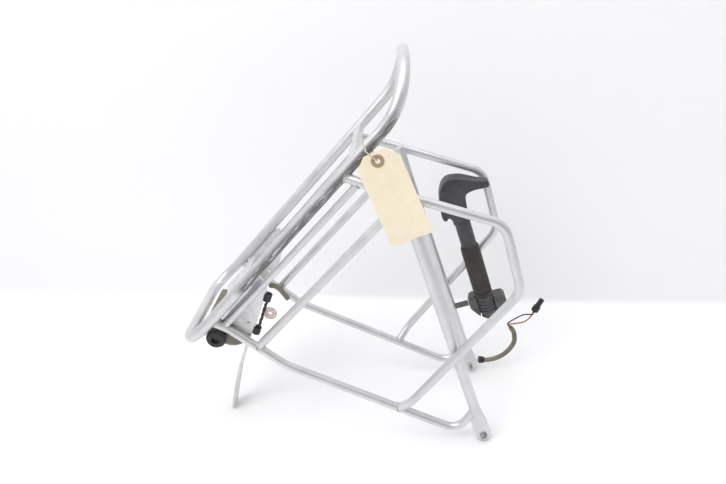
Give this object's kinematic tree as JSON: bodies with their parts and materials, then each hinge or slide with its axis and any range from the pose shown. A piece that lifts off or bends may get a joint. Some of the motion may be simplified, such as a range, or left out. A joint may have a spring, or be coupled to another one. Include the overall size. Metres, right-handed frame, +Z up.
{
  "type": "bicycle rear rack",
  "caption": "Tubular aluminium bicycle rear rack with swept-up tail, side loops, front bracket with tongue, and a hand pump clipped to one stay.",
  "frame": {"origin": "on the floor under the middle of the rack's bounding box, the free lighting cable left out, with the rack standing on its two dropout noses and the end of its tongue", "axes": "+Z up from the floor; +X towards the rear of the bicycle, along the floor; +Y towards the bicycle's right-hand side. The platform itself leans back 46 degrees from the floor"},
  "size_m": [0.4566, 0.1736, 0.4701],
  "materials": {
    "frame_tube": "satin, light silver, fine drawn grain, rubbed darker where bags and straps sat",
    "tongue_metal": "satin, bright on its front face",
    "bracket_plate": "pale satin sheet",
    "shield_plate": "dull khaki",
    "fastener": "plated, slightly dull",
    "buffer_rubber": "matt black",
    "black_fitting": "satin black",
    "black_lead": "matt black insulation",
    "khaki_sheath": "dull khaki, darker underneath",
    "red_lead": "dark red insulation",
    "pump_plastic": "dark grey with soft highlights",
    "pump_rubber": "brown-black, matt",
    "holder_plastic": "mid grey",
    "clear_plastic": "milky, faintly pink",
    "label_film": "pale blank film",
    "tag_paper": "manila card, uncoated",
    "tag_reinforcement": "darker card",
    "tag_cord": "undyed twisted string"
  },
  "bodies": {
    "rack": {"blank_label": "label_film", "bracket_cheek_left": "bracket_plate", "bracket_cheek_right": "bracket_plate", "bracket_shield": "shield_plate", "bracket_web": "bracket_plate", "buffer_backing": "shield_plate", "buffer_ear": "shield_plate", "buffer_screw": "black_fitting", "cable_boot": "black_lead", "cable_sheath": "khaki_sheath", "clear_disc": "clear_plastic", "connector": "black_fitting", "edge_lead": "black_lead", "eyelet_screw_left": "fastener", "eyelet_screw_right": "fastener", "front_strut_left": "frame_tube", "front_strut_right": "frame_tube", "head_peg": "fastener", "holder_arm": "holder_plastic", "lead_black": "black_lead", "lead_clip_1": "black_fitting", "lead_clip_2": "black_fitting", "lead_red": "red_lead", "platform_loop": "frame_tube", "pump_saddle": "holder_plastic", "rear_bridge": "frame_tube", "rubber_buffer": "buffer_rubber", "side_loop_left": "frame_tube", "side_loop_right": "frame_tube", "side_rail_left": "frame_tube", "side_rail_right": "frame_tube", "stay_left": "frame_tube", "stay_right": "frame_tube", "tag_string": "tag_cord", "tongue": "tongue_metal", "tongue_bolt_1": "fastener", "tongue_bolt_2": "fastener", "tongue_nut_1": "fastener", "tongue_nut_2": "fastener", "upper_cable": "khaki_sheath", "upper_rail_left": "frame_tube", "upper_rail_right": "frame_tube"},
    "pump": {"pump_valve_cap": "pump_plastic", "pump_grip": "pump_rubber", "pump_piston": "fastener"},
    "pump_top": {"pump_barrel": "pump_plastic", "pump_handle": "pump_plastic"},
    "tag": {"tag_card": "tag_paper", "tag_ring": "tag_reinforcement"}
  },
  "joints": [
    {"name": "pump_lift", "type": "slide", "parent": "rack", "child": "pump", "axis": [-0.2775, 0, 0.9607], "range_m": [0, 0.03]},
    {"name": "pump_stroke", "type": "slide", "parent": "pump", "child": "pump_top", "axis": [-0.2775, 0, 0.9607], "range_m": [-0.034, 0.012]},
    {"name": "tag_swing", "type": "hinge", "parent": "rack", "child": "tag", "pos_m": [0.04156, -0.08352, 0.37962], "axis": [0, 1, 0], "range_deg": [-20, 35]}
  ]
}
